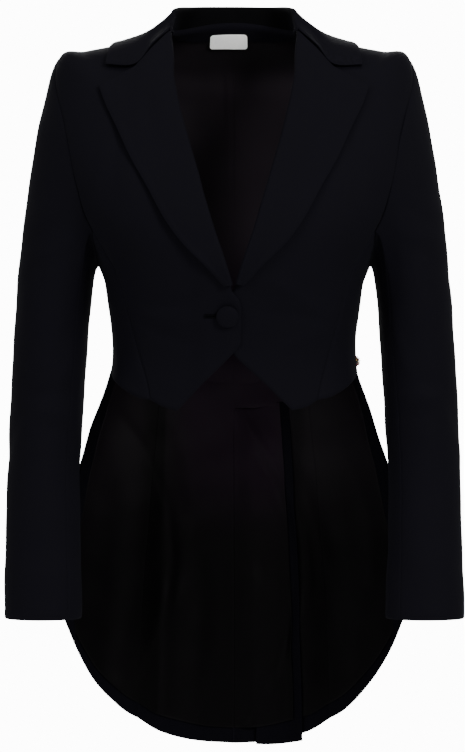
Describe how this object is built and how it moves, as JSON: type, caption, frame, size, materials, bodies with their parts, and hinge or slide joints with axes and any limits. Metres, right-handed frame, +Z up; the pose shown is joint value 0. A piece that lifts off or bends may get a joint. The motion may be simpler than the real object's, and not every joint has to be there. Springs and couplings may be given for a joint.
{
  "type": "tailcoat blazer",
  "caption": "Tailcoat blazer in its worn form: notch lapels, padded shoulders, cropped buttoned front curving up to the waist, long rounded satin-lined tails behind.",
  "frame": {"origin": "between the wearer's shoulders at neck level, where the garment is held", "axes": "+Z up, the front faces -Y, +X towards the wearer's left"},
  "size_m": [0.5016, 0.2618, 0.8315],
  "materials": {
    "black_wool": "matt wool twill with a short nap",
    "aubergine_satin": "satin lining",
    "label_satin": "smooth woven label",
    "gilt": "worn gilt with dark settings"
  },
  "bodies": {
    "root": {"front_right": "black_wool", "side_front_right": "black_wool", "side_back_right": "black_wool", "back_right": "black_wool", "lapel_right": "black_wool", "topsleeve_right": "black_wool", "undersleeve_right": "black_wool", "tail_facing_right": "black_wool", "lining_back_right": "aubergine_satin", "lining_tail_back_right": "aubergine_satin", "lining_tail_side_right": "aubergine_satin", "front_left": "black_wool", "side_front_left": "black_wool", "side_back_left": "black_wool", "back_left": "black_wool", "lapel_left": "black_wool", "topsleeve_left": "black_wool", "undersleeve_left": "black_wool", "tail_facing_left": "black_wool", "lining_back_left": "aubergine_satin", "lining_tail_back_left": "aubergine_satin", "lining_tail_side_left": "aubergine_satin", "vent_underlap": "black_wool", "lining_vent": "aubergine_satin", "collar": "black_wool", "neck_facing": "black_wool", "label": "label_satin", "button": "black_wool", "waist_ornament": "gilt"}
  },
  "joints": []
}
